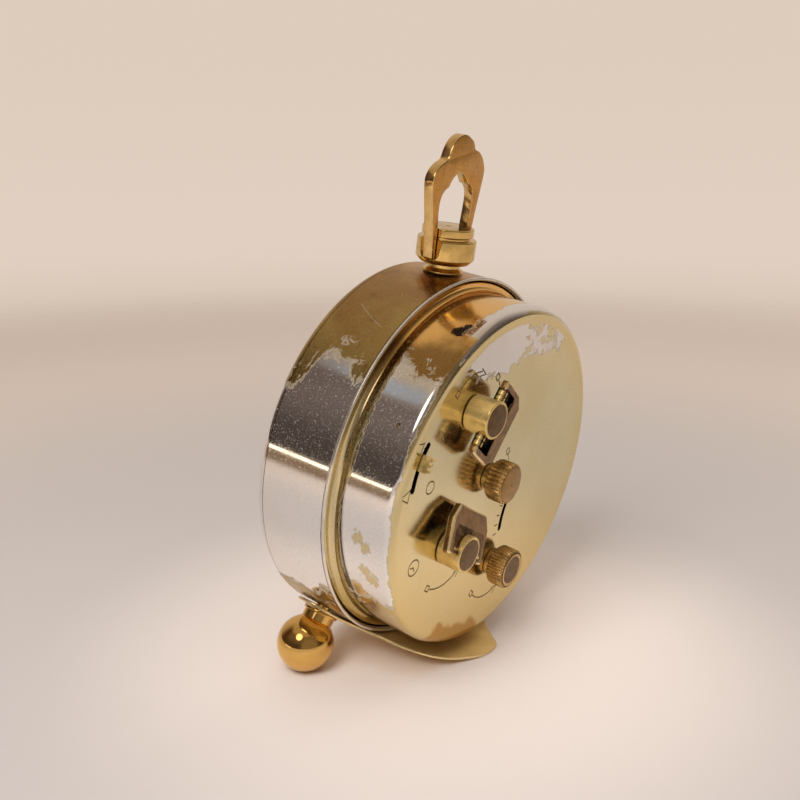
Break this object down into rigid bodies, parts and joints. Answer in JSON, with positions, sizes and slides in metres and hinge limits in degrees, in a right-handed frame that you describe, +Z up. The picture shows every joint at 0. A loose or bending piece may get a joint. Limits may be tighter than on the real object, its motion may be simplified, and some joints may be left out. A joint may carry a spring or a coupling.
{
  "type": "alarm clock",
  "caption": "Small round wind-up alarm clock with a plated drum case, ball feet, a rear tongue foot, a top handle, folding winding keys and knurled setting knobs.",
  "frame": {"origin": "on the surface the clock stands on, under the middle of its bounding box", "axes": "+Z up, the dial faces -Y, +X to the right as seen from the dial side"},
  "size_m": [0.0588, 0.0336, 0.0818],
  "materials": {
    "plated": "worn bright plating with brass showing through",
    "satin_brass": "satin, worn plating remnants",
    "polished_brass": "polished, tarnished in places",
    "aged_brass": "brown patina, bright edges",
    "crystal_glass": "clear domed glass",
    "dial_paint": "matt cream dial",
    "hand_paint": "black enamel",
    "gilt": "gilt",
    "movement_brass": "stamped brass",
    "steel": "plain steel",
    "spring_steel": "blued steel"
  },
  "bodies": {
    "case": {"front_case": "plated", "bezel": "plated", "crystal": "crystal_glass", "dial_ring": "satin_brass", "dial": "dial_paint", "movement_ring": "steel", "rear_cover": "satin_brass", "stand_bracket": "polished_brass", "foot_left": "polished_brass", "foot_right": "polished_brass", "handle_stem": "polished_brass", "front_plate": "movement_brass", "rear_plate": "movement_brass", "pillar_1": "steel", "pillar_2": "steel", "pillar_3": "steel", "pillar_4": "steel", "balance_cock": "movement_brass", "time_mainspring": "spring_steel", "alarm_mainspring": "spring_steel", "hairspring": "spring_steel"},
    "handle": {"handle": "polished_brass"},
    "time_key": {"time_key": "aged_brass", "time_key_pin": "steel", "time_ratchet_wheel": "steel"},
    "time_key_loop": {"time_key_loop": "aged_brass"},
    "alarm_key": {"alarm_key": "aged_brass", "alarm_key_pin": "steel", "alarm_ratchet_wheel": "steel"},
    "alarm_key_loop": {"alarm_key_loop": "aged_brass"},
    "minute_hand": {"minute_hand": "hand_paint", "centre_arbor": "steel", "cannon_pinion": "steel", "hand_set_wheel": "movement_brass"},
    "minute_wheel": {"minute_wheel": "movement_brass"},
    "hour_hand": {"hour_hand": "hand_paint", "hour_wheel": "movement_brass"},
    "time_knob": {"time_knob": "aged_brass", "time_knob_pinion": "movement_brass"},
    "alarm_hand": {"alarm_hand": "gilt", "alarm_wheel": "movement_brass"},
    "alarm_knob": {"alarm_knob": "aged_brass", "alarm_knob_pinion": "movement_brass"},
    "time_main_wheel": {"time_main_wheel": "movement_brass"},
    "centre_wheel": {"centre_wheel": "movement_brass"},
    "third_wheel": {"third_wheel": "movement_brass"},
    "fourth_wheel": {"fourth_wheel": "movement_brass"},
    "escape_wheel": {"escape_wheel": "steel"},
    "pallet_fork": {"pallet_fork": "steel"},
    "balance_wheel": {"balance_wheel": "movement_brass"},
    "regulator": {"regulator": "steel"},
    "alarm_main_wheel": {"alarm_main_wheel": "movement_brass"},
    "strike_wheel": {"strike_wheel": "steel"},
    "hammer": {"hammer": "steel"},
    "alarm_lever": {"alarm_lever": "aged_brass"}
  },
  "joints": [
    {"name": "handle_swing", "type": "hinge", "parent": "case", "child": "handle", "pos_m": [0, -0.00015, 0.06509], "axis": [1, 0, 0], "range_deg": [-20, 20]},
    {"name": "time_key_turn", "type": "hinge", "parent": "case", "child": "time_key", "pos_m": [0.0129, 0.00605, 0.02399], "axis": [0, 0.9898, -0.1427], "continuous": true},
    {"name": "time_key_loop_fold", "type": "hinge", "parent": "time_key", "child": "time_key_loop", "pos_m": [0.0129, 0.01228, 0.02309], "axis": [-0.866, -0.0713, -0.4949], "range_deg": [0, 200]},
    {"name": "alarm_key_turn", "type": "hinge", "parent": "case", "child": "alarm_key", "pos_m": [0.0109, 0.00896, 0.04418], "axis": [0, 0.9898, -0.1427], "continuous": true},
    {"name": "alarm_key_loop_fold", "type": "hinge", "parent": "alarm_key", "child": "alarm_key_loop", "pos_m": [0.0109, 0.01519, 0.04328], "axis": [0.6018, -0.114, -0.7905], "range_deg": [-8, 195]},
    {"name": "minute_hand_turn", "type": "hinge", "parent": "case", "child": "minute_hand", "pos_m": [0, 0.00702, 0.03072], "axis": [0, 0.9898, -0.1427], "continuous": true},
    {"name": "minute_wheel_turn", "type": "hinge", "parent": "case", "child": "minute_wheel", "pos_m": [0.0036, 0.00791, 0.03689], "axis": [0, 0.9898, -0.1427], "continuous": true},
    {"name": "hour_hand_turn", "type": "hinge", "parent": "case", "child": "hour_hand", "pos_m": [0, 0.00702, 0.03072], "axis": [0, 0.9898, -0.1427], "continuous": true},
    {"name": "time_knob_turn", "type": "hinge", "parent": "case", "child": "time_knob", "pos_m": [0.0037, 0.00726, 0.0324], "axis": [0, 0.9898, -0.1427], "continuous": true},
    {"name": "alarm_hand_turn", "type": "hinge", "parent": "case", "child": "alarm_hand", "pos_m": [0, 0.00702, 0.03072], "axis": [0, 0.9898, -0.1427], "continuous": true},
    {"name": "alarm_knob_turn", "type": "hinge", "parent": "case", "child": "alarm_knob", "pos_m": [-0.0012, 0.00495, 0.01637], "axis": [0, 0.9898, -0.1427], "continuous": true},
    {"name": "fourth_wheel_turn", "type": "hinge", "parent": "case", "child": "fourth_wheel", "pos_m": [-0.00955, 0.00624, 0.0253], "axis": [0, 0.9898, -0.1427], "continuous": true},
    {"name": "third_wheel_turn", "type": "hinge", "parent": "case", "child": "third_wheel", "pos_m": [-0.01036, 0.00756, 0.03445], "axis": [0, 0.9898, -0.1427], "continuous": true},
    {"name": "centre_wheel_turn", "type": "hinge", "parent": "case", "child": "centre_wheel", "pos_m": [0, 0.00702, 0.03072], "axis": [0, 0.9898, -0.1427], "continuous": true},
    {"name": "time_main_wheel_turn", "type": "hinge", "parent": "case", "child": "time_main_wheel", "pos_m": [0.0129, 0.00605, 0.02399], "axis": [0, 0.9898, -0.1427], "continuous": true},
    {"name": "escape_wheel_turn", "type": "hinge", "parent": "case", "child": "escape_wheel", "pos_m": [-0.01744, 0.00665, 0.02815], "axis": [0, 0.9898, -0.1427], "continuous": true},
    {"name": "pallet_rock", "type": "hinge", "parent": "case", "child": "pallet_fork", "pos_m": [-0.01454, 0.00608, 0.02424], "axis": [0, 0.9898, -0.1427], "range_deg": [-5, 5]},
    {"name": "balance_swing", "type": "hinge", "parent": "case", "child": "balance_wheel", "pos_m": [-0.01273, 0.00573, 0.02181], "axis": [0, 0.9898, -0.1427], "range_deg": [-200, 200], "stiffness_Nm_per_rad": 0.00001},
    {"name": "regulator_shift", "type": "hinge", "parent": "case", "child": "regulator", "pos_m": [-0.01273, 0.00573, 0.02181], "axis": [0, 0.9898, -0.1427], "range_deg": [-7, 24]},
    {"name": "alarm_main_wheel_turn", "type": "hinge", "parent": "case", "child": "alarm_main_wheel", "pos_m": [0.0109, 0.00896, 0.04418], "axis": [0, 0.9898, -0.1427], "continuous": true},
    {"name": "strike_wheel_turn", "type": "hinge", "parent": "case", "child": "strike_wheel", "pos_m": [0.0018, 0.00919, 0.04577], "axis": [0, 0.9898, -0.1427], "continuous": true},
    {"name": "hammer_swing", "type": "hinge", "parent": "case", "child": "hammer", "pos_m": [-0.005, 0.00951, 0.04804], "axis": [0, 0.9898, -0.1427], "range_deg": [-8, 8], "stiffness_Nm_per_rad": 0.0005},
    {"name": "alarm_lever_shift", "type": "hinge", "parent": "case", "child": "alarm_lever", "pos_m": [0.0113, 0.00756, 0.03448], "axis": [0, 0.9898, -0.1427], "range_deg": [-5, 12]}
  ],
  "couplings": [
    {"joint": "minute_wheel_turn", "follows": "minute_hand_turn", "ratio": -0.33333},
    {"joint": "hour_hand_turn", "follows": "minute_hand_turn", "ratio": 0.083333},
    {"joint": "time_knob_turn", "follows": "minute_hand_turn", "ratio": -1},
    {"joint": "alarm_knob_turn", "follows": "alarm_hand_turn", "ratio": -4},
    {"joint": "third_wheel_turn", "follows": "fourth_wheel_turn", "ratio": -0.16667},
    {"joint": "centre_wheel_turn", "follows": "fourth_wheel_turn", "ratio": 0.027778},
    {"joint": "time_main_wheel_turn", "follows": "fourth_wheel_turn", "ratio": -0.0092593},
    {"joint": "escape_wheel_turn", "follows": "fourth_wheel_turn", "ratio": -6},
    {"joint": "strike_wheel_turn", "follows": "alarm_main_wheel_turn", "ratio": -4}
  ]
}
